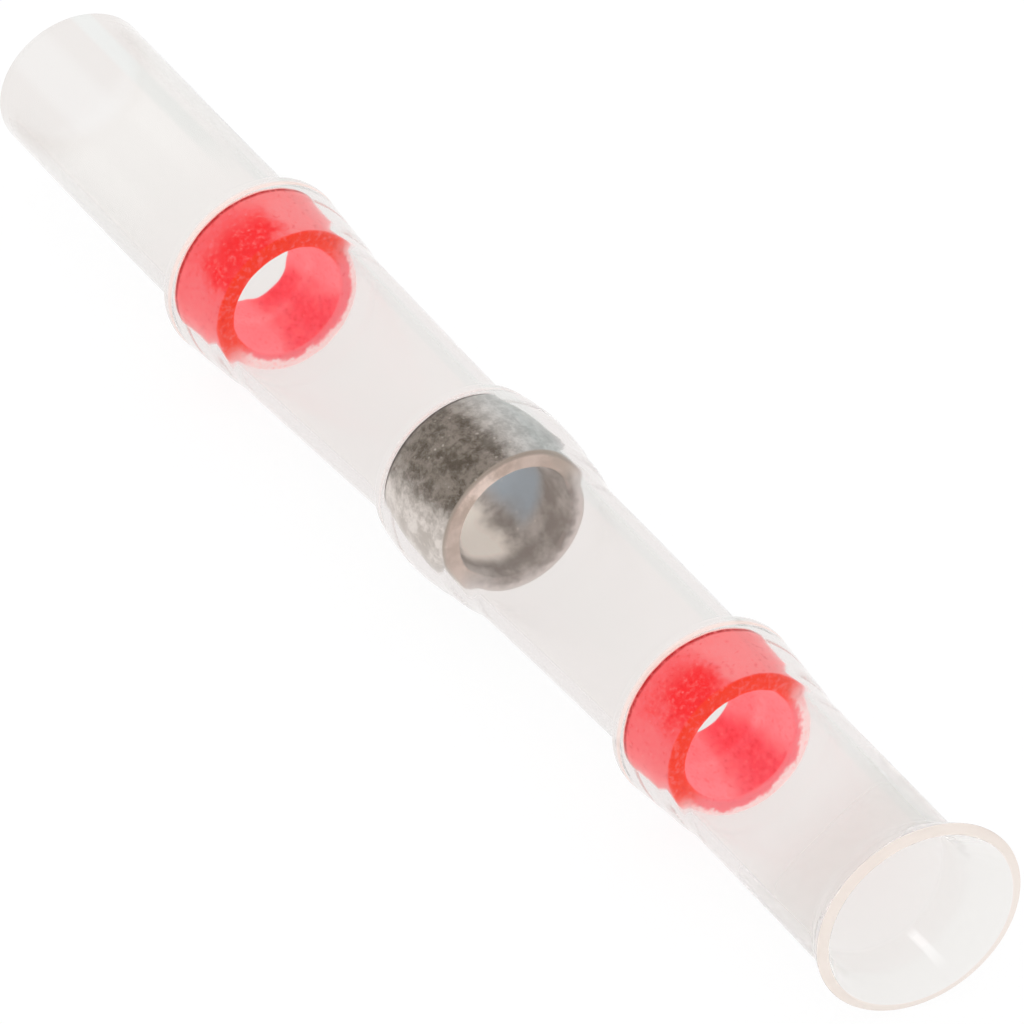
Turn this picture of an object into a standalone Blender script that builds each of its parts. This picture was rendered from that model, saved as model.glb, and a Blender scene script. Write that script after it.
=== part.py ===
"""Heat shrink butt connector with a solder ring and two sealing rings.

The connector lies along X on the plane z = 0, with its flared mouth at +X.
Each piece is turned about its own Z axis, and an empty lays that axis along X.
All sizes are in metres, and the sleeve's own radii are those of its inside.
"""

import math

import bpy

MM = 0.001

# Sleeve
SLEEVE_LENGTH = 40.4 * MM
WALL = 0.30 * MM
FOOT_FILLET = 0.10 * MM
SHOULDER_SLOPE = math.radians(60)
NECK_BEND = 3.00 * MM
NECK_SLOPE = math.radians(30)

# How much narrower the sleeve is than the ring beside it, at each end of its free stretches
TAIL_STEP = 0.47 * MM
REAR_WAIST_STEPS = (0.10 * MM, 0.28 * MM)
FRONT_WAIST_STEPS = (0.20 * MM, 0.46 * MM)
NOSE_STEP = 0.10 * MM

# Flared mouth
LIP_RISE = 0.49 * MM
LIP_SLOPE = math.radians(27)
LIP_BEND = 0.70 * MM

# Sealing rings
SEAL_LENGTH = 1.90 * MM
SEAL_REAR_RADIUS = 2.17 * MM
SEAL_TAPER = 0.16 * MM
SEAL_FRONT_WALL = 0.56 * MM
SEAL_REAR_WALL = 1.13 * MM
SEAL_EDGE = 0.10 * MM

# Solder ring
SOLDER_LENGTH = 2.75 * MM
SOLDER_END_RADIUS = 2.00 * MM
SOLDER_CROWN = 0.16 * MM
SOLDER_WALL = 0.60 * MM
SOLDER_EDGE = 0.08 * MM

# Places along the sleeve, from its middle
REAR_SEAL_PLACE = -9.97 * MM
SOLDER_PLACE = 0.38 * MM
FRONT_SEAL_PLACE = 11.25 * MM

SEAT_CLEARANCE = 0.02 * MM

# The soft sleeve is pressed flat by this much where it lies, under its lip and its rear swelling
REST_FLAT = 0.05 * MM

# Fineness of the round shapes
SEGMENTS = 40
ARC_STEPS = 3
CROWN_STEPS = 4


def arc(centre, radius, start, end, steps=ARC_STEPS):
    """Points (radius, height) along an arc, with angles from the outward direction."""
    points = []
    for step in range(steps + 1):
        angle = start + (end - start) * step / steps
        points.append((centre[0] + radius * math.cos(angle), centre[1] + radius * math.sin(angle)))
    return points


def seal_radius(height):
    """Outer radius of a sealing ring, which is widest at its rear end."""
    return SEAL_REAR_RADIUS - SEAL_TAPER * (height / SEAL_LENGTH + 0.5)


def solder_radius(height):
    """Outer radius of the solder ring, which is crowned like a barrel."""
    return SOLDER_END_RADIUS + SOLDER_CROWN * (1 - (2 * height / SOLDER_LENGTH) ** 2)


def ring_section(length, outer, front_wall, rear_wall, edge, crown_steps):
    """Closed section of a ring about its middle, down its outer side and up its bore."""
    top = length / 2
    front_bore = outer(top) - front_wall
    rear_bore = outer(-top) - rear_wall
    section = arc((outer(top) - edge, top - edge), edge, math.pi / 2, 0)
    for step in range(1, crown_steps):
        height = (top - edge) * (1 - 2 * step / crown_steps)
        section.append((outer(height), height))
    section += arc((outer(-top) - edge, edge - top), edge, 0, -math.pi / 2)
    section += arc((rear_bore + edge, edge - top), edge, -math.pi / 2, -math.pi)
    section += arc((front_bore + edge, top - edge), edge, math.pi, math.pi / 2)
    return section


def s_bend(low, high, low_bend, high_bend, slope):
    """Points from a low radius at height 0 to a high one, as two arcs and a straight flank."""
    rise = high - low
    angle = min(slope, math.acos(1 - rise / (low_bend + high_bend)))
    flank = (rise - (low_bend + high_bend) * (1 - math.cos(angle))) / math.tan(angle)
    run = (low_bend + high_bend) * math.sin(angle) + flank
    foot = arc((low + low_bend, 0), low_bend, math.pi, math.pi - angle)
    crown = arc((high - high_bend, run), high_bend, -angle, 0)
    return foot + crown if angle == slope else foot + crown[1:]


def sleeve_line():
    """Line of the sleeve's inside from its tail to its mouth."""
    seats = (
        (REAR_SEAL_PLACE, SEAL_LENGTH, SEAL_EDGE, seal_radius, 1),
        (SOLDER_PLACE, SOLDER_LENGTH, SOLDER_EDGE, solder_radius, CROWN_STEPS),
        (FRONT_SEAL_PLACE, SEAL_LENGTH, SEAL_EDGE, seal_radius, 1),
    )
    steps_up = (TAIL_STEP, REAR_WAIST_STEPS[1], FRONT_WAIST_STEPS[1])
    steps_down = (REAR_WAIST_STEPS[0], FRONT_WAIST_STEPS[0], NOSE_STEP)
    line = []
    for (place, length, edge, outer, crown_steps), up, down in zip(seats, steps_up, steps_down):
        reach = length / 2 - edge
        rear = outer(-reach) + SEAT_CLEARANCE
        front = outer(reach) + SEAT_CLEARANCE
        shoulder = s_bend(rear - up, rear, WALL + FOOT_FILLET, edge + SEAT_CLEARANCE, SHOULDER_SLOPE)
        shift = place - reach - shoulder[-1][1]
        line += [(radius, height + shift) for radius, height in shoulder]
        for step in range(1, crown_steps):
            height = reach * (2 * step / crown_steps - 1)
            line.append((outer(height) + SEAT_CLEARANCE, place + height))
        neck = s_bend(front - down, front, NECK_BEND, NECK_BEND, NECK_SLOPE)
        shift = place + reach + neck[-1][1]
        line += [(radius, shift - height) for radius, height in reversed(neck)]
    tail = (line[0][0], -SLEEVE_LENGTH / 2)
    return [tail] + line + mouth_line(line[-1][0])


def mouth_line(nose):
    """Line of the flared mouth: a bend out of the nose and a straight cone to the lip."""
    bend = arc((nose + LIP_BEND, 0), LIP_BEND, math.pi, math.pi - LIP_SLOPE)
    rise_left = nose + LIP_RISE - bend[-1][0]
    lip = (nose + LIP_RISE, bend[-1][1] + rise_left / math.tan(LIP_SLOPE))
    shift = SLEEVE_LENGTH / 2 - lip[1]
    return [(radius, height + shift) for radius, height in bend + [lip]]


def turned(name, line, closed, material, collection):
    """An object whose line of (radius, height) points is screwed about its Z axis."""
    mesh = bpy.data.meshes.new(name)
    count = len(line)
    edges = [(index, (index + 1) % count) for index in range(count if closed else count - 1)]
    mesh.from_pydata([(radius, 0, height) for radius, height in line], edges, [])
    mesh.materials.append(material)
    piece = bpy.data.objects.new(name, mesh)
    collection.objects.link(piece)
    screw = piece.modifiers.new("turn", "SCREW")
    screw.axis = "Z"
    screw.steps = SEGMENTS
    screw.render_steps = SEGMENTS
    screw.use_merge_vertices = True
    screw.merge_threshold = 1e-7
    screw.use_smooth_shade = True
    piece.rotation_euler.z = math.pi / SEGMENTS
    return piece


def plastic(name, colour, roughness, alpha):
    """A see-through plastic, given as a plain colour and how solid it looks."""
    material = bpy.data.materials.new(name)
    material.use_nodes = True
    shader = material.node_tree.nodes["Principled BSDF"]
    shader.inputs["Base Color"].default_value = (*colour, 1)
    shader.inputs["Roughness"].default_value = roughness
    shader.inputs["Metallic"].default_value = 0
    shader.inputs["Alpha"].default_value = alpha
    return material


def solder_alloy():
    """Dull grey tin solder."""
    material = bpy.data.materials.new("solder")
    material.use_nodes = True
    shader = material.node_tree.nodes["Principled BSDF"]
    shader.inputs["Base Color"].default_value = (0.36, 0.34, 0.32, 1)
    shader.inputs["Roughness"].default_value = 0.5
    shader.inputs["Metallic"].default_value = 0.9
    return material


def rest_on_flats(sleeve, axis, line):
    """Sets the axis at its height and cuts the two flats that the connector lies on.

    Both lie in one plane, which would touch the lip and the rear swelling from below.
    """
    across_flats = math.cos(math.pi / SEGMENTS)
    lip_radius = (line[-1][0] + WALL * math.cos(LIP_SLOPE)) * across_flats
    lip_place = line[-1][1] - WALL * math.sin(LIP_SLOPE)
    swell_place = REAR_SEAL_PLACE - SEAL_LENGTH / 2 + SEAL_EDGE
    swell_radius = (seal_radius(SEAL_EDGE - SEAL_LENGTH / 2) + SEAT_CLEARANCE + WALL) * across_flats
    lean = math.atan2(lip_radius - swell_radius, lip_place - swell_place)
    axis.location.z = lip_radius - REST_FLAT

    bpy.ops.mesh.primitive_cube_add(size=1, location=(0, 0, 0))
    floor = bpy.context.active_object
    floor.name = "rest_plane"
    floor.scale = (2 * SLEEVE_LENGTH, SLEEVE_LENGTH, SLEEVE_LENGTH)
    floor.rotation_euler.y = lean
    floor.location = (
        lip_place - SLEEVE_LENGTH / 2 * math.sin(lean),
        0,
        -SLEEVE_LENGTH / 2 * math.cos(lean),
    )
    floor.hide_render = True
    floor.display_type = "WIRE"
    cutters = bpy.data.collections.new("cutters")
    bpy.context.scene.collection.children.link(cutters)
    for home in list(floor.users_collection):
        home.objects.unlink(floor)
    cutters.objects.link(floor)
    flats = sleeve.modifiers.new("flats", "BOOLEAN")
    flats.operation = "DIFFERENCE"
    flats.object = floor


def build():
    """The sleeve with its three rings, on one empty that lays them along X."""
    for item in list(bpy.data.objects):
        bpy.data.objects.remove(item, do_unlink=True)
    collection = bpy.data.collections.new("heat_shrink_butt_connector")
    bpy.context.scene.collection.children.link(collection)

    line = sleeve_line()
    clear = plastic("clear_sleeve", (0.86, 0.84, 0.81), 0.3, 0.35)
    sleeve = turned("heat_shrink_sleeve", line, False, clear, collection)
    wall = sleeve.modifiers.new("wall", "SOLIDIFY")
    wall.thickness = WALL
    wall.offset = -1
    wall.use_even_offset = True

    seal = ring_section(
        SEAL_LENGTH, seal_radius, SEAL_FRONT_WALL, SEAL_REAR_WALL, SEAL_EDGE, 1
    )
    red = plastic("red_sealant", (0.9, 0.06, 0.07), 0.35, 0.85)
    rear = turned("rear_sealing_ring", seal, True, red, collection)
    rear.location.z = REAR_SEAL_PLACE
    front = turned("front_sealing_ring", seal, True, red.copy(), collection)
    front.location.z = FRONT_SEAL_PLACE

    band = ring_section(
        SOLDER_LENGTH, solder_radius, SOLDER_WALL, SOLDER_WALL, SOLDER_EDGE, CROWN_STEPS
    )
    solder = turned("solder_ring", band, True, solder_alloy(), collection)
    solder.location.z = SOLDER_PLACE

    axis = bpy.data.objects.new("connector_axis", None)
    collection.objects.link(axis)
    axis.rotation_euler.y = math.pi / 2
    for piece in (sleeve, rear, solder, front):
        piece.parent = axis
    rest_on_flats(sleeve, axis, line)


build()
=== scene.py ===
"""Looks of the heat shrink butt connector: clear sleeve, two red sealing rings, solder ring."""

import math

import bpy
import numpy as np
from mathutils import Euler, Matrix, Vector


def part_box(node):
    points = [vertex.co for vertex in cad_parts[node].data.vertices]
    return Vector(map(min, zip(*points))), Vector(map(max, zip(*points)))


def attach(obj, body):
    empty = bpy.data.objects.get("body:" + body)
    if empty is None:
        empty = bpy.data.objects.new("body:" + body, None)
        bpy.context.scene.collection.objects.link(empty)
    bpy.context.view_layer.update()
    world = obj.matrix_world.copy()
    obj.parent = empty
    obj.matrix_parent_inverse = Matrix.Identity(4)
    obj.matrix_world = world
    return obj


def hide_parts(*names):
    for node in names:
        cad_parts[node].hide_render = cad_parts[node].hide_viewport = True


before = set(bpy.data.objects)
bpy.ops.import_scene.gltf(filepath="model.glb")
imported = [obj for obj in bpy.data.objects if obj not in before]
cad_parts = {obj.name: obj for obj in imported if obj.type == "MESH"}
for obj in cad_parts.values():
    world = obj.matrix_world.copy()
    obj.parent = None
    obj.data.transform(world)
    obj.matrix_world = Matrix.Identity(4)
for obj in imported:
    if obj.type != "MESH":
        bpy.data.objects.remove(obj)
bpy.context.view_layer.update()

MM = 0.001

# Sealing rings
# Each is a short collar of red hot-melt adhesive, cut from an extruded tube and slid into the
# sleeve. The sleeve is shrunk over it just enough to hold it. Its bore narrows towards the tail.

CAD_SIDES = 40
SEAL_TAPER = 0.16 * MM
SEAL_SHRINK = 0.02 * MM
SEAL_FRONT_WALL = 0.50 * MM
SEAL_REAR_WALLS = {"rear_sealing_ring": 1.12 * MM, "front_sealing_ring": 1.42 * MM}
SEAL_EDGE = 0.10 * MM
SEAL_UNEVENNESS = 0.05 * MM
SEAL_LUMPS = 0.4 * MM
ARC_STEPS = 6
RING_SIDE_STEPS = 24
RING_END_STEPS = 10
ROUND_STEPS = 256
CIRCLE = 1.0 * MM
SWAY = 0.08 * MM
SWAY_START = -19.6 * MM
SWAY_LENGTH = 38.2 * MM

# Angles round the axis run from +Y to +Z. TOP faces the photo's camera, SIDE a quarter turn from it.
SIDE = math.radians(34.8)
TOP = math.radians(124.8)


def seat(node):
    """Middle, length and widest radius of a ring, read from the frame."""
    low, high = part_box(node)
    radius = (high.y - low.y) / 2 / math.cos(math.pi / CAD_SIDES)
    return (low.x + high.x) / 2, high.x - low.x, radius


def arc(centre, radius, start, end):
    """Points (radius, place) along an arc, with angles from the outward direction."""
    angles = [start + (end - start) * step / ARC_STEPS for step in range(ARC_STEPS + 1)]
    return [(centre[0] + radius * math.cos(a), centre[1] + radius * math.sin(a)) for a in angles]


def along(start, end, steps):
    """Points between two others, both left out."""
    shares = [step / steps for step in range(1, steps)]
    return [tuple(a + (b - a) * share for a, b in zip(start, end)) for share in shares]


class Flow:
    """An output of a node tree, on which sums are written as in Python."""

    def __init__(self, nodes, socket):
        self.nodes = nodes
        self.socket = socket

    def math(self, operation, *others):
        values = dict(enumerate((self, *others)))
        return self.nodes.add("ShaderNodeMath", {"operation": operation}, values)

    def __add__(self, other):
        return self.math("ADD", other)

    def __mul__(self, other):
        return self.math("MULTIPLY", other)

    def __sub__(self, other):
        return self.math("SUBTRACT", other)

    def __truediv__(self, other):
        return self.math("DIVIDE", other)

    def __rsub__(self, other):
        return self * -1 + other

    __radd__ = __add__
    __rmul__ = __mul__


class Nodes:
    """A node tree with one method that adds a node to it."""

    def __init__(self, tree):
        self.tree = tree

    def add(self, kind, settings=None, values=None, output=0):
        node = self.tree.nodes.new(kind)
        for name, setting in (settings or {}).items():
            setattr(node, name, setting)
        for name, value in (values or {}).items():
            self.join(value, node.inputs[name])
        return Flow(self, node.outputs[output])

    def join(self, value, socket):
        if isinstance(value, Flow):
            self.tree.links.new(value.socket, socket)
        else:
            socket.default_value = value

    def ramp(self, value, low, high):
        """0 at the low value and 1 at the high one, with a smooth way between."""
        limits = {"Value": value, "From Min": low, "From Max": high}
        return self.add("ShaderNodeMapRange", {"interpolation_type": "SMOOTHSTEP"}, limits)

    def blend(self, factor, first, second):
        """A colour between two others."""
        return self.add(
            "ShaderNodeMix",
            {"data_type": "RGBA"},
            {0: factor, 6: first, 7: second},
            output=2,
        )

    def noise(self, vector, scale, detail, roughness=0.5):
        values = {"Vector": vector, "Scale": scale, "Detail": detail, "Roughness": roughness}
        return self.add("ShaderNodeTexNoise", {}, values)

    def specks(self, vector, scale, size):
        """1 in small round spots, as wide as a share of the gap between them."""
        cells = self.add("ShaderNodeTexVoronoi", {}, {"Vector": vector, "Scale": scale})
        return 1 - self.ramp(cells, size / 2, size)


class Spot:
    """Where a point of a surface lies: along the axis, off it and round it."""

    def __init__(self, nodes):
        self.place = nodes.add("ShaderNodeTexCoord", output=3)
        parts = nodes.tree.nodes.new("ShaderNodeSeparateXYZ")
        nodes.join(self.place, parts.inputs[0])
        self.x, self.y, z = (Flow(nodes, parts.outputs[name]) for name in "XYZ")
        self.z = z - AXIS_HEIGHT
        self.radius = (self.y * self.y + self.z * self.z).math("SQRT")

    def facing(self, angle):
        """1 where the point is on the side that the angle names, and -1 on the other side."""
        return (self.y * math.cos(angle) + self.z * math.sin(angle)) / self.radius


def turning_tree():
    """A closed section, drawn as (radius, place), is swept about the sleeve's axis."""
    tree = bpy.data.node_groups.new("turned_piece", "GeometryNodeTree")
    sockets = (
        ("Section", "NodeSocketGeometry"),
        ("Steps", "NodeSocketInt"),
        ("Circle", "NodeSocketFloat"),
        ("Axis height", "NodeSocketFloat"),
        ("Unevenness", "NodeSocketFloat"),
        ("Lump size", "NodeSocketFloat"),
        ("Seed", "NodeSocketFloat"),
        ("Material", "NodeSocketMaterial"),
    )
    for name, kind in sockets:
        tree.interface.new_socket(name, in_out="INPUT", socket_type=kind)
    tree.interface.new_socket("Piece", in_out="OUTPUT", socket_type="NodeSocketGeometry")
    nodes = Nodes(tree)
    given = tree.nodes.new("NodeGroupInput")
    inputs = {name: Flow(nodes, given.outputs[name]) for name, _ in sockets}

    circle = {"Resolution": inputs["Steps"], "Radius": inputs["Circle"]}
    path = nodes.add("GeometryNodeCurvePrimitiveCircle", {}, circle)
    section = nodes.add("GeometryNodeMeshToCurve", {}, {"Mesh": inputs["Section"]})
    swept = nodes.add("GeometryNodeCurveToMesh", {}, {"Curve": path, "Profile Curve": section})
    lift = nodes.add("ShaderNodeCombineXYZ", {}, {"Z": inputs["Axis height"]})
    laid = nodes.add(
        "GeometryNodeTransform",
        {},
        {"Geometry": swept, "Translation": lift, "Rotation": Euler((0, math.pi / 2, 0))},
    )
    place = nodes.add("GeometryNodeInputPosition")
    scale = nodes.add("ShaderNodeMath", {"operation": "DIVIDE"}, {0: 1.0, 1: inputs["Lump size"]})
    lumps = nodes.add(
        "ShaderNodeTexNoise",
        {"noise_dimensions": "4D"},
        {"Vector": place, "W": inputs["Seed"], "Scale": scale, "Detail": 4.0},
    )
    outwards = nodes.add("GeometryNodeInputNormal")
    push = nodes.add(
        "ShaderNodeVectorMath",
        {"operation": "SCALE"},
        {0: outwards, "Scale": (lumps - 0.5) * inputs["Unevenness"]},
    )
    uneven = nodes.add("GeometryNodeSetPosition", {}, {"Geometry": laid, "Offset": push})
    smooth = nodes.add("GeometryNodeSetShadeSmooth", {}, {"Geometry": uneven})
    real = nodes.add("GeometryNodeRealizeInstances", {}, {"Geometry": smooth})
    painted = {"Geometry": real, "Material": inputs["Material"]}
    piece = nodes.add("GeometryNodeSetMaterial", {}, painted)
    nodes.join(piece, tree.nodes.new("NodeGroupOutput").inputs["Piece"])
    return tree


AXIS_HEIGHT = sum(corner.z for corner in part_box("solder_ring")) / 2
turning = turning_tree()


def ring_section(length, outer, front_wall, rear_wall, edge):
    """Closed section of a ring about its middle, down its outer side and up its bore."""
    top = length / 2
    front_bore = outer(top) - front_wall
    rear_bore = outer(-top) - rear_wall
    front_outside = arc((outer(top) - edge, top - edge), edge, math.pi / 2, 0)
    rear_outside = arc((outer(-top) - edge, edge - top), edge, 0, -math.pi / 2)
    rear_inside = arc((rear_bore + edge, edge - top), edge, -math.pi / 2, -math.pi)
    front_inside = arc((front_bore + edge, top - edge), edge, math.pi, math.pi / 2)
    straight = along(front_outside[-1], rear_outside[0], RING_SIDE_STEPS)
    return (
        front_outside
        + [(outer(place), place) for _, place in straight]
        + rear_outside
        + along(rear_outside[-1], rear_inside[0], RING_END_STEPS)
        + rear_inside
        + along(rear_inside[-1], front_inside[0], RING_SIDE_STEPS)
        + front_inside
        + along(front_inside[-1], front_outside[0], RING_END_STEPS)
    )


def turned(name, section, middle, material, unevenness, lump_size, seed):
    """A finished piece, swept from its closed section, with no modifier left on it."""
    outline = bpy.data.meshes.new(name + "_section")
    points = [(radius - CIRCLE, -place - middle, 0) for radius, place in section]
    edges = [(index, (index + 1) % len(points)) for index in range(len(points))]
    outline.from_pydata(points, edges, [])
    drawn = bpy.data.objects.new(name + "_section", outline)
    bpy.context.scene.collection.objects.link(drawn)
    sweep = drawn.modifiers.new("sweep", "NODES")
    sweep.node_group = turning
    values = {
        "Steps": ROUND_STEPS,
        "Circle": CIRCLE,
        "Axis height": AXIS_HEIGHT,
        "Unevenness": unevenness,
        "Lump size": lump_size,
        "Seed": seed,
        "Material": material,
    }
    for socket in turning.interface.items_tree:
        if socket.name in values:
            sweep[socket.identifier] = values[socket.name]
    evaluated = drawn.evaluated_get(bpy.context.evaluated_depsgraph_get())
    mesh = bpy.data.meshes.new_from_object(evaluated)
    mesh.name = name
    bpy.data.objects.remove(drawn)
    piece = bpy.data.objects.new(name, mesh)
    bpy.context.scene.collection.objects.link(piece)
    return piece


def points_of(piece):
    """The points of a piece's mesh, one a row."""
    flat = np.empty(len(piece.data.vertices) * 3)
    piece.data.vertices.foreach_get("co", flat)
    return flat.reshape(-1, 3)


def move_points(piece, points):
    """Puts the points of a piece's mesh in new places."""
    piece.data.vertices.foreach_set("co", points.ravel())
    piece.data.update()


def swayed(piece):
    """Moves a straight piece to where the connector's slight S-bend has it."""
    points = points_of(piece)
    shift = -SWAY * np.sin(2 * math.pi * (points[:, 0] - SWAY_START) / SWAY_LENGTH)
    points[:, 1] += shift * math.cos(SIDE)
    points[:, 2] += shift * math.sin(SIDE)
    move_points(piece, points)


def finish(name):
    """A new material, its nodes and its shader."""
    material = bpy.data.materials.new(name)
    material.use_nodes = True
    nodes = Nodes(material.node_tree)
    return material, nodes, material.node_tree.nodes["Principled BSDF"]


def sealant(name, middle, length, seed):
    """Red hot-melt adhesive, partly clear, with small bubbles. Its red is painted deepest along its top
    and paler towards its sides, as shade and sheen, with painted shade and highlight lines at its edges
    and a faint painted glow.
    """
    material, nodes, shader = finish(name)
    shader.inputs["Transmission Weight"].default_value = 0.25
    shader.inputs["IOR"].default_value = 1.48
    shader.inputs["Specular IOR Level"].default_value = 0.15
    # Painted glow: the ring emits a faint red light of its own, standing in for light scattered through
    # the melt.
    shader.inputs["Emission Strength"].default_value = 0.25
    spot = Spot(nodes)
    moved = nodes.add("ShaderNodeVectorMath", {"operation": "ADD"}, {0: spot.place, 1: (seed, 0, 0)})
    cloud = nodes.noise(moved, 900, 3.0, 0.6)
    grain = nodes.noise(moved, 7500, 3.0, 0.6)
    top = spot.facing(TOP)
    forward = (spot.x - (middle - length / 2)) / length

    # Painted shade and sheen: the red is painted deepest along the top, towards the front, and paler
    # and pinker round the sides, most on the far side.
    deepest = nodes.ramp(top + 0.5 * (cloud - 0.5), 0.78, 1.0) * nodes.ramp(forward, 0.0, 0.6)
    far_side = nodes.ramp(spot.facing(SIDE), 0.1, 0.5)
    outside = nodes.blend(far_side, (0.92, 0.28, 0.31, 1), (0.94, 0.46, 0.48, 1))
    outside = nodes.blend(deepest, outside, (0.93, 0.03, 0.035, 1))
    # Painted shade: a dark line along the rear outer edge. Painted highlight: a pale line at its very
    # rear, in front of which the dark line shows.
    brim = nodes.ramp(spot.radius, 1.98 * MM, 2.06 * MM)
    painted_shade_line = brim * (1 - nodes.ramp(forward, 0.08, 0.13))
    outside = nodes.blend(painted_shade_line, outside, (0.26, 0.01, 0.012, 1))
    painted_highlight_line = brim * (1 - nodes.ramp(forward, 0.05, 0.07))
    outside = nodes.blend(painted_highlight_line, outside, (1.0, 0.76, 0.69, 1))
    # Painted shade: the bore's red is painted deeper on the side away from the top, and paler
    # elsewhere.
    across_bore = nodes.ramp(0.5 * (cloud - 0.5) - top, 0.68, 1.0)
    bore = nodes.blend(across_bore, (0.93, 0.57, 0.63, 1), (0.84, 0.15, 0.21, 1))
    # Painted shade: the bore's front brink is painted dark red on its upper half.
    painted_shade_brink = nodes.ramp(forward, 0.88, 0.96) * nodes.ramp(top, 0.0, 0.5)
    bore = nodes.blend(0.8 * painted_shade_brink, bore, (0.30, 0.004, 0.003, 1))
    skin = nodes.blend(nodes.ramp(spot.radius, 1.60 * MM, 1.78 * MM), bore, outside)
    face = nodes.ramp(forward, 0.955, 0.985)
    ragged = spot.radius + 0.45 * MM * (nodes.noise(moved, 3000, 3.0, 0.7) - 0.5)
    below = nodes.ramp(-1 * top, -0.2, 0.4)
    # Painted highlight: the outer part of the front face's lower half is painted near white, with a
    # ragged inner edge, and glows.
    pale = below * nodes.ramp(ragged, 1.66 * MM, 1.80 * MM)
    end = nodes.blend(below, (0.94, 0.07, 0.02, 1), (0.93, 0.40, 0.46, 1))
    end = nodes.blend(pale, end, (1.0, 0.97, 0.96, 1))
    red = nodes.blend(face, skin, end)
    red = nodes.blend(0.5 * nodes.ramp(grain, 0.48, 0.72), red, (1.0, 0.36, 0.38, 1))
    red = nodes.blend(0.4 * (1 - nodes.ramp(grain, 0.28, 0.46)), red, (0.55, 0.01, 0.02, 1))
    red = nodes.blend(0.35 * nodes.specks(moved, 3000, 0.12), red, (1.0, 0.62, 0.6, 1))
    nodes.join(red, shader.inputs["Base Color"])
    # Painted glow: the highlight line and the pale band on the front face emit near-white light, and
    # the rest emits red.
    lit = painted_highlight_line.math("MAXIMUM", face * pale)
    glow = nodes.blend(lit, (1.0, 0.01, 0.015, 1), (1.0, 0.96, 0.94, 1))
    nodes.join(glow, shader.inputs["Emission Color"])
    nodes.join(0.3 + 0.2 * grain, shader.inputs["Roughness"])
    bump = nodes.add("ShaderNodeBump", {}, {"Height": grain, "Strength": 0.25, "Distance": 0.02 * MM})
    nodes.join(bump, shader.inputs["Normal"])
    return material


def seal_shape(widest, length):
    """Outer radius of a sealing ring at each place from its middle: its rear end is the widest."""
    return lambda place: widest - SEAL_TAPER * (place / length + 0.5)


seats = {}
for node, seed in (("rear_sealing_ring", 1.0), ("front_sealing_ring", 2.0)):
    middle, length, widest = seat(node)
    seats[node] = (middle, length, widest)
    outer = seal_shape(widest - SEAL_SHRINK, length)
    section = ring_section(length, outer, SEAL_FRONT_WALL, SEAL_REAR_WALLS[node], SEAL_EDGE)
    melt = sealant(node + "_melt", middle, length, seed)
    piece = turned(node + "_melt", section, middle, melt, SEAL_UNEVENNESS, SEAL_LUMPS, seed)
    swayed(piece)
    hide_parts(node)
    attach(piece, "root")

# Solder ring
# One band of low-melt tin solder, a little crowned, with a film of brown flux on it. It sits at
# the middle of the sleeve, where the bared wires meet.

SOLDER_CROWN = 0.16 * MM
SOLDER_FRONT_WALL = 0.44 * MM
SOLDER_REAR_WALL = 0.88 * MM
SOLDER_EDGE = 0.08 * MM
SOLDER_SHRINK = 0.01 * MM
SOLDER_UNEVENNESS = 0.03 * MM
SOLDER_LUMPS = 0.6 * MM
BRIGHT_SIDE = math.radians(256)
BLUISH_SIDE = math.radians(347)


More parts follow.
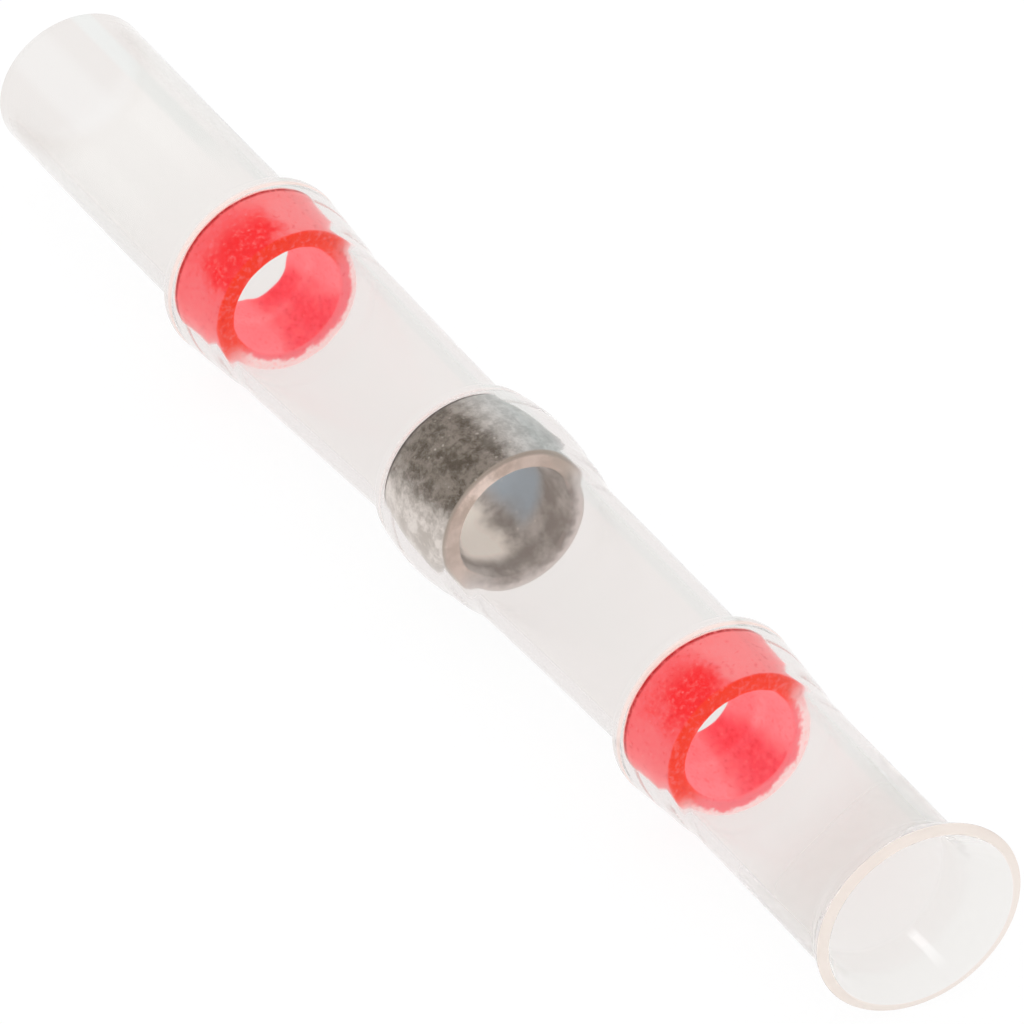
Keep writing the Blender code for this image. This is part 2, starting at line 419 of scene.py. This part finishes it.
def solder_alloy(middle, length):
    """Dull grey solder, stained brown by its flux, with a tan film on its front end. Its top is painted
    darker and its sides paler, as shade and sheen; its bore has painted reflections, its rear edge
    painted shade and highlight lines, and it has a faint painted glow.
    """
    material, nodes, shader = finish("solder")
    shader.inputs["Metallic"].default_value = 0.2
    shader.inputs["Emission Strength"].default_value = 0.20
    spot = Spot(nodes)
    forward = (spot.x - (middle - length / 2)) / length
    cloud = nodes.noise(spot.place, 1100, 4.0, 0.65)
    fine = nodes.noise(spot.place, 5200, 3.0)
    mottle = nodes.ramp(cloud, 0.35, 0.65)

    grit = nodes.ramp(nodes.noise(spot.place, 1700, 5.0, 0.8), 0.40, 0.62)
    # Painted shade and sheen: the flux stain is painted darkest along the top, and the sides are
    # painted paler.
    painted_shade_middle = nodes.ramp(spot.facing(TOP) + 0.4 * (cloud - 0.5), 0.66, 0.98)
    flux_stain_and_shade = nodes.blend(grit, (0.095, 0.075, 0.055, 1), (0.27, 0.235, 0.20, 1))
    side = nodes.blend(grit, (0.56, 0.52, 0.48, 1), (0.84, 0.80, 0.76, 1))
    outside = nodes.blend(painted_shade_middle, side, flux_stain_and_shade)
    far_side = nodes.blend(grit, (0.42, 0.435, 0.43, 1), (0.60, 0.615, 0.61, 1))
    outside = nodes.blend(nodes.ramp(spot.facing(SIDE), 0.40, 0.85), outside, far_side)
    # Painted shade: a dark line along the rear outer edge. Painted highlight: a pale line at its very
    # rear.
    brim = nodes.ramp(spot.radius, 1.86 * MM, 1.92 * MM)
    painted_shade_line = brim * (1 - nodes.ramp(forward, 0.03, 0.07))
    outside = nodes.blend(painted_shade_line, outside, (0.05, 0.035, 0.03, 1))
    painted_highlight_line = brim * (1 - nodes.ramp(forward, 0.018, 0.030))
    outside = nodes.blend(0.8 * painted_highlight_line, outside, (1.0, 0.92, 0.88, 1))
    dark = nodes.blend(mottle, (0.31, 0.275, 0.25, 1), (0.56, 0.52, 0.49, 1))
    # Painted reflections in the bore: a warm bright patch towards one side, and a bluish one on another
    # side, deeper in.
    painted_warm_reflection = nodes.ramp(spot.facing(BRIGHT_SIDE) + 0.3 * (cloud - 0.5), 0.72, 0.97)
    painted_bluish_reflection = nodes.ramp(spot.facing(BLUISH_SIDE) + 0.3 * (cloud - 0.5), 0.66, 1.0)
    deep = 1 - nodes.ramp(forward, 0.50, 0.68)
    bore = nodes.blend(painted_warm_reflection * (1 - nodes.ramp(forward, 0.66, 0.84)), dark, (1.0, 0.94, 0.86, 1))
    bore = nodes.blend(painted_bluish_reflection * deep, bore, (0.42, 0.49, 0.55, 1))
    skin = nodes.blend(nodes.ramp(spot.radius, 1.6 * MM, 1.75 * MM), bore, outside)
    film = nodes.blend(nodes.ramp(cloud, 0.38, 0.62), (0.56, 0.46, 0.39, 1), (0.90, 0.78, 0.70, 1))
    film_side = nodes.ramp(spot.facing(SIDE).math("ABSOLUTE"), 0.25, 0.7)
    film = nodes.blend(0.6 * film_side, film, (0.56, 0.47, 0.41, 1))
    film = nodes.blend(nodes.ramp(spot.radius, 1.89 * MM, 1.98 * MM), film, (0.40, 0.34, 0.29, 1))
    ragged = spot.radius + 0.3 * MM * (fine - 0.5)
    # The lower half of the front end is painted with the bore's colour, turning grey towards its rim.
    pale = nodes.ramp(-1 * spot.facing(TOP), -0.2, 0.4)
    lower_end_tone = nodes.blend(nodes.ramp(ragged, 1.66 * MM, 1.90 * MM), bore, (0.72, 0.67, 0.64, 1))
    film = nodes.blend(pale, film, lower_end_tone)
    grey = nodes.blend(nodes.ramp(forward, 0.965, 0.985), skin, film)
    glints = 0.5 * nodes.specks(spot.place, 4200, 0.2) * nodes.ramp(cloud, 0.48, 0.62)
    grey = nodes.blend(glints, grey, (0.85, 0.80, 0.72, 1))
    nodes.join(grey, shader.inputs["Base Color"])
    # Painted glow: the solder emits a faint light in its own colour.
    nodes.join(grey, shader.inputs["Emission Color"])
    nodes.join(0.35 + 0.3 * fine, shader.inputs["Roughness"])
    bump = nodes.add("ShaderNodeBump", {}, {"Height": fine, "Strength": 0.5, "Distance": 0.03 * MM})
    nodes.join(bump, shader.inputs["Normal"])
    return material


solder_middle, solder_length, solder_widest = seat("solder_ring")


def solder_radius(place):
    """Outer radius of the solder ring, about its middle."""
    return solder_widest - SOLDER_SHRINK - SOLDER_CROWN * (2 * place / solder_length) ** 2


solder_ring = turned(
    "solder_band",
    ring_section(solder_length, solder_radius, SOLDER_FRONT_WALL, SOLDER_REAR_WALL, SOLDER_EDGE),
    solder_middle,
    solder_alloy(solder_middle, solder_length),
    SOLDER_UNEVENNESS,
    SOLDER_LUMPS,
    3.0,
)
swayed(solder_ring)
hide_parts("solder_ring")
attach(solder_ring, "root")

# Sleeve
# One length of clear polyolefin tube, cut a little aslant. It is shrunk just enough to swell over
# each ring and to neck beside it, and its mouth is left flared where the wire goes in.

SLEEVE_LENGTH = 40.0 * MM
CUT_SLANT = math.radians(4.6)
FLARE_START = 18.9 * MM
TAIL_SLANT_START = -18.0 * MM
WALL = 0.30 * MM
SEAT_CLEARANCE = 0.02 * MM
FOOT_BEND = 0.40 * MM
CROWN_BEND = 0.12 * MM
SHOULDER_SLOPE = math.radians(60)
NECK_BEND = 3.00 * MM
NECK_SLOPE = math.radians(30)
LIP_RISE = 0.49 * MM
LIP_SLOPE = math.radians(27)
LIP_BEND = 0.70 * MM
LIP_LEAN = 0.09 * MM
RIM_ROUND = 0.05 * MM
RIM_STEPS = 6
SEAT_STEPS = 6
POINT_GAP = 0.45 * MM
MARK_BLUR = 0.02 * MM
SLEEVE_UNEVENNESS = 0.003 * MM
SLEEVE_LUMPS = 2.5 * MM
STREAK_SIDES = (math.radians(85), math.radians(69))
FLARE_HIGHLIGHT_SIDE = math.radians(299)

# How much narrower the sleeve is than each ring, behind it and in front of it
STEPS_UP = (0.47 * MM, 0.28 * MM, 0.46 * MM)
STEPS_DOWN = (0.10 * MM, 0.20 * MM, 0.10 * MM)


def s_bend(low, high, low_bend, high_bend, slope):
    """Points from a low radius at place 0 to a high one, as two arcs and a straight flank."""
    rise = high - low
    angle = min(slope, math.acos(1 - rise / (low_bend + high_bend)))
    flank = (rise - (low_bend + high_bend) * (1 - math.cos(angle))) / math.tan(angle)
    run = (low_bend + high_bend) * math.sin(angle) + flank
    foot = arc((low + low_bend, 0), low_bend, math.pi, math.pi - angle)
    crown = arc((high - high_bend, run), high_bend, -angle, 0)
    return foot + crown if angle == slope else foot + crown[1:]


def sleeve_line(start, end):
    """Line of the sleeve's inside from its tail to its lip."""
    rear, front = seats["rear_sealing_ring"], seats["front_sealing_ring"]
    rings = (
        (rear[0], rear[1], SEAL_EDGE, seal_shape(rear[2], rear[1])),
        (solder_middle, solder_length, SOLDER_EDGE, solder_radius),
        (front[0], front[1], SEAL_EDGE, seal_shape(front[2], front[1])),
    )
    line = []
    for (middle, length, edge, outer), up, down in zip(rings, STEPS_UP, STEPS_DOWN):
        reach = length / 2 - edge
        low, high = outer(-reach) + SEAT_CLEARANCE, outer(reach) + SEAT_CLEARANCE
        shoulder = s_bend(low - up, low, FOOT_BEND, CROWN_BEND, SHOULDER_SLOPE)
        shift = middle - reach - shoulder[-1][1]
        line += [(radius, place + shift) for radius, place in shoulder]
        seated = along((0, -reach), (0, reach), SEAT_STEPS)
        line += [(outer(place) + SEAT_CLEARANCE, middle + place) for _, place in seated]
        neck = s_bend(high - down, high, NECK_BEND, NECK_BEND, NECK_SLOPE)
        shift = middle + reach + neck[-1][1]
        line += [(radius, shift - place) for radius, place in reversed(neck)]
    nose = line[-1][0]
    bend = arc((nose + LIP_BEND, 0), LIP_BEND, math.pi, math.pi - LIP_SLOPE)
    rise_left = nose + LIP_RISE - bend[-1][0]
    lip = (nose + LIP_RISE, bend[-1][1] + rise_left / math.tan(LIP_SLOPE))
    mouth = [(radius, place + end - lip[1]) for radius, place in bend + [lip]]
    return [(line[0][0], start)] + line + mouth


def evened(line, gap):
    """The same line with points no further apart than the gap."""
    points = [line[0]]
    for point in line[1:]:
        steps = max(1, math.ceil(math.dist(points[-1], point) / gap))
        points += along(points[-1], point, steps) + [point]
    return points


def wall_section(line, wall, rim):
    """Closed section of the wall that lies outside the line, with a rounded rim at each end."""
    inside = np.array(line)
    run = np.gradient(inside, axis=0)
    run /= np.linalg.norm(run, axis=1)[:, None]
    outwards = np.column_stack([run[:, 1], -run[:, 0]])
    outside = inside + outwards * wall
    rims = []
    for end, side in ((0, -1), (-1, 1)):
        start = inside[end] - run[end] * rim * side
        centres = (start + outwards[end] * rim, start + outwards[end] * (wall - rim))
        rounded = []
        for centre, turn in zip(centres, (-1, 1)):
            for step in range(RIM_STEPS + 1):
                angle = math.pi / 2 * step / RIM_STEPS
                lean = math.cos(angle) if turn < 0 else math.sin(angle)
                tip = math.sin(angle) if turn < 0 else math.cos(angle)
                across = outwards[end] * rim * turn * lean
                ahead = run[end] * rim * side * tip
                rounded.append(tuple(centre + across + ahead))
        rims.append(rounded)
    tail, lip = rims
    return (
        [tuple(point) for point in inside[2:-2]]
        + lip
        + [tuple(point) for point in outside[-3:1:-1]]
        + tail[::-1]
    )


def shoulder_highlight_arcs():
    """Where the painted highlight arc over each ring's rear edge begins and is full, and how strong it
    is.
    """
    rears = [(middle - length / 2, 0.75) for middle, length, _ in seats.values()]
    rears.append((solder_middle - solder_length / 2, 0.4))
    return [(rear + 0.10 * MM, rear + 0.24 * MM, strength) for rear, strength in rears]


def sleeve_plastic():
    """Clear polyolefin with an even veil, milky inside its mouth, and warm in tone at its lip's cut.
    Its milky parts have a faint painted glow; it has a painted shade strip along its top, painted
    highlight arcs behind the rings and a painted highlight streak in the flare.
    """
    material, nodes, shader = finish("clear_sleeve")
    shader.inputs["Transmission Weight"].default_value = 1.0
    shader.inputs["IOR"].default_value = 1.12
    spot = Spot(nodes)
    haze = nodes.noise(spot.place, 300, 3.0)
    cut_face, inside = (
        nodes.add("ShaderNodeAttribute", {"attribute_name": name}, {}, "Fac")
        for name in ("cut_face", "inside")
    )
    # Painted highlight: a pale, glowing, peach arc on the sleeve just behind each ring's rear edge.
    arcs = []
    for start, end, strength in shoulder_highlight_arcs():
        fade = 1 - nodes.ramp(spot.x, end + 0.07 * MM, end + 0.12 * MM)
        arcs.append(strength * nodes.ramp(spot.x, start, end) * fade)
    shoulder = sum(arcs) * (1 - inside)
    tail = 1 - nodes.ramp(spot.x, -14.5 * MM, -11.5 * MM)
    under = -1 * spot.facing(TOP)
    mouth = inside * nodes.ramp(spot.x + 1.65 * MM * under, 14.6 * MM, 17.0 * MM)
    open_end = 1 - nodes.ramp(spot.x - 3.0 * MM * spot.facing(TOP), -20.2 * MM, -18.2 * MM)
    open_end = open_end * nodes.ramp(spot.facing(TOP), 0.0, 0.5)
    # Painted shade: a slightly darker strip along the top of the tube.
    painted_shade_middle = 0.5 * nodes.ramp(spot.facing(TOP + 0.1), 0.93, 0.99)
    veil = nodes.blend(haze, (0.845, 0.81, 0.795, 1), (0.875, 0.84, 0.825, 1))
    veil = nodes.blend(tail, veil, (0.92, 0.90, 0.88, 1))
    veil = nodes.blend(open_end, veil, (0.75, 0.70, 0.67, 1))
    veil = nodes.blend(painted_shade_middle, veil, (0.84, 0.82, 0.80, 1))
    streak = tail * nodes.ramp(spot.facing(STREAK_SIDES[0]), 0.985, 0.998)
    streak = streak + (1 - tail) * nodes.ramp(spot.facing(STREAK_SIDES[1]), 0.985, 0.998)
    veil = nodes.blend(0.8 * streak, veil, (0.76, 0.79, 0.77, 1))
    nodes.join(nodes.blend(inside, veil, (0.995, 0.99, 0.985, 1)), shader.inputs["Base Color"])
    nodes.join(0.06 + 0.04 * haze + 0.16 * tail, shader.inputs["Roughness"])

    milk = nodes.tree.nodes.new("ShaderNodeBsdfPrincipled")
    milk.inputs["Roughness"].default_value = 0.45
    milk.inputs["Specular IOR Level"].default_value = 0.2
    # Painted glow: the milky parts emit a faint light of their own, white, and peach on the highlight
    # arcs.
    milk.inputs["Emission Strength"].default_value = 0.25
    warm = nodes.blend(cut_face, (0.84, 0.54, 0.47, 1), (0.72, 0.62, 0.55, 1))
    marked = cut_face.math("MAXIMUM", shoulder)
    glow = nodes.blend(shoulder, (1.0, 0.98, 0.96, 1), (1.0, 0.78, 0.70, 1))
    nodes.join(glow, milk.inputs["Emission Color"])
    # Painted highlight: a short white streak on the inside of the flare.
    flare_highlight = nodes.ramp(spot.facing(FLARE_HIGHLIGHT_SIDE), 0.997, 0.9997) * nodes.ramp(spot.x, 18.2 * MM, 18.6 * MM)
    flare_highlight = 0.8 * flare_highlight * (1 - nodes.ramp(spot.x, 18.9 * MM, 19.8 * MM))
    plain = nodes.blend(flare_highlight, (0.72, 0.715, 0.70, 1), (0.98, 0.98, 0.98, 1))
    nodes.join(nodes.blend(marked, plain, warm), milk.inputs["Base Color"])
    bend = 0.75 * inside * nodes.ramp(spot.x, 17.6 * MM, 18.4 * MM) * nodes.ramp(under, -0.6, 0.4)
    haze_share = (mouth * (0.36 + 0.26 * under)).math("MAXIMUM", bend).math("MAXIMUM", flare_highlight * inside)
    share = haze_share.math("MAXIMUM", 0.85 * shoulder).math("MAXIMUM", 0.85 * cut_face)
    mixed = nodes.add(
        "ShaderNodeMixShader",
        {},
        {0: share, 1: Flow(nodes, shader.outputs[0]), 2: Flow(nodes, milk.outputs[0])},
    )
    nodes.join(mixed, nodes.tree.nodes["Material Output"].inputs["Surface"])
    return material


def mark(piece, name, shares):
    """Keeps one number for each point of a piece, for its material to read."""
    piece.data.attributes.new(name, "FLOAT", "POINT").data.foreach_set("value", shares)


def mark_places(piece, line):
    """Marks the lip's cut face, and the inside with the tail's rounded end."""
    points = points_of(piece)
    radius = np.hypot(points[:, 1], points[:, 2] - AXIS_HEIGHT)
    lip_radius, lip_place = line[-1]
    past_lip = (points[:, 0] - lip_place) * math.cos(LIP_SLOPE)
    ahead = past_lip + (radius - lip_radius) * math.sin(LIP_SLOPE)
    behind = line[0][1] - points[:, 0]
    lip_cut, tail_cut = (np.clip(gap / MARK_BLUR + 1.5, 0, 1) for gap in (ahead, behind))
    mark(piece, "cut_face", lip_cut)
    places, radii = np.array(line)[:, 1], np.array(line)[:, 0]
    depth = np.interp(points[:, 0], places, radii) + 0.5 * WALL - radius
    mark(piece, "inside", np.maximum(np.clip(0.5 + depth / (0.2 * WALL), 0, 1), tail_cut))


def cut_aslant(piece):
    """Slants the tail's end, and the mouth's along its flare."""
    points = points_of(piece)
    across = points[:, 1] * math.cos(SIDE) + (points[:, 2] - AXIS_HEIGHT) * math.sin(SIDE)
    radius = np.hypot(points[:, 1], points[:, 2] - AXIS_HEIGHT)
    half = SLEEVE_LENGTH / 2
    mouth = np.clip((points[:, 0] - FLARE_START) / (half - FLARE_START), 0, 1)
    tail = np.clip((TAIL_SLANT_START - points[:, 0]) / (TAIL_SLANT_START + half), 0, 1)
    run = across * math.tan(CUT_SLANT)
    points[:, 0] += run * (mouth + tail)
    spread = 1 + run * mouth * math.tan(LIP_SLOPE) / radius
    points[:, 1] *= spread
    points[:, 2] = AXIS_HEIGHT + (points[:, 2] - AXIS_HEIGHT) * spread
    points[:, 1] += LIP_LEAN * mouth**2 * math.cos(SIDE)
    points[:, 2] += LIP_LEAN * mouth**2 * math.sin(SIDE)
    move_points(piece, points)


lip_end = SLEEVE_LENGTH / 2 + WALL * math.sin(LIP_SLOPE)
line = evened(sleeve_line(-SLEEVE_LENGTH / 2, lip_end), POINT_GAP)
section = wall_section(line, WALL, RIM_ROUND)
plastic = sleeve_plastic()
sleeve = turned("shrink_sleeve", section, 0, plastic, SLEEVE_UNEVENNESS, SLEEVE_LUMPS, 4.0)
mark_places(sleeve, line)
cut_aslant(sleeve)
swayed(sleeve)
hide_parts("heat_shrink_sleeve")
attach(sleeve, "root")

# Table
# A plain white surface under the connector, with the same white all round.

table_mesh = bpy.data.meshes.new("table")
table_mesh.from_pydata([(-3, -3, 0), (3, -3, 0), (3, 3, 0), (-3, 3, 0)], [], [(0, 1, 2, 3)])
table = bpy.data.objects.new("table", table_mesh)
bpy.context.scene.collection.objects.link(table)

TABLE_GLOW = 1.03
TABLE_WHITE_SHARE = 0.9
AMBIENT = 0.85


def seen_directly(nodes):
    """1 for what the camera sees, itself or through gloss and clear plastic."""
    rays = nodes.tree.nodes.new("ShaderNodeLightPath")
    camera, gloss, clear = (
        Flow(nodes, rays.outputs[name])
        for name in ("Is Camera Ray", "Is Glossy Ray", "Is Transmission Ray")
    )
    return camera.math("MAXIMUM", gloss).math("MAXIMUM", clear)


def table_white():
    """White for the camera with the connector's soft shadow kept, and a pale board for the light."""
    material, nodes, shader = finish("table_white")
    shader.inputs["Base Color"].default_value = (0.9, 0.9, 0.9, 1)
    shader.inputs["Roughness"].default_value = 0.9
    shader.inputs["Specular IOR Level"].default_value = 0.0
    glow = nodes.add("ShaderNodeEmission", {}, {"Color": (1, 1, 1, 1), "Strength": TABLE_GLOW})
    board = Flow(nodes, shader.outputs[0])
    share = seen_directly(nodes) * TABLE_WHITE_SHARE
    mixed = nodes.add("ShaderNodeMixShader", {}, {0: share, 1: board, 2: glow})
    nodes.join(mixed, material.node_tree.nodes["Material Output"].inputs["Surface"])
    return material


table_mesh.materials.append(table_white())

world = bpy.data.worlds.new("studio")
world.use_nodes = True
bpy.context.scene.world = world
sky = Nodes(world.node_tree)
backdrop = world.node_tree.nodes["Background"]
backdrop.inputs["Color"].default_value = (1, 1, 1, 1)
sky.join(AMBIENT + (1 - AMBIENT) * seen_directly(sky), backdrop.inputs["Strength"])

# Lamps
# Two broad soft lamps, one above the tail and one low by the mouth.

CONNECTOR = Vector((0, 0, AXIS_HEIGHT))


def lamp(name, place, size, power):
    """A square lamp that faces the connector."""
    light = bpy.data.lights.new(name, "AREA")
    light.size = size
    light.energy = power
    holder = bpy.data.objects.new(name, light)
    holder.location = place
    holder.rotation_euler = (CONNECTOR - Vector(place)).to_track_quat("-Z", "Y").to_euler()
    holder.visible_glossy = False
    holder.visible_transmission = False
    bpy.context.scene.collection.objects.link(holder)


lamp("key_lamp", (-0.35, -0.20, 0.60), 0.9, 0.8)
lamp("fill_lamp", (0.45, -0.55, 0.35), 0.9, 0.4)

# Camera
# It looks down on the connector from in front of its mouth, as the photograph does, from far off.

AZIMUTH = math.radians(59.5)
ELEVATION = math.radians(36.1)
DISTANCE = 440 * MM
LENS = 642.3
AIMED_FROM = 0.5166 * MM
RIGHT_OF_AXIS = 0.516 * MM
BELOW_AXIS = 0.304 * MM

towards = Vector(
    (
        math.sin(AZIMUTH) * math.cos(ELEVATION),
        -math.cos(AZIMUTH) * math.cos(ELEVATION),
        math.sin(ELEVATION),
    )
)
right = Vector((math.cos(AZIMUTH), math.sin(AZIMUTH), 0))
up = towards.cross(right)
aim = Vector((AIMED_FROM, 0, AXIS_HEIGHT)) + right * RIGHT_OF_AXIS - up * BELOW_AXIS
view = bpy.data.cameras.new("photo_view")
view.lens = LENS
view.clip_start = 0.01
camera = bpy.data.objects.new("photo_view", view)
camera.location = aim + towards * DISTANCE
camera.rotation_euler = towards.to_track_quat("Z", "Y").to_euler()
bpy.context.scene.collection.objects.link(camera)
bpy.context.scene.camera = camera
bpy.context.scene.view_settings.view_transform = "Standard"

light_paths = bpy.context.scene.cycles
light_paths.max_bounces = 32
light_paths.glossy_bounces = 16
light_paths.transmission_bounces = 32
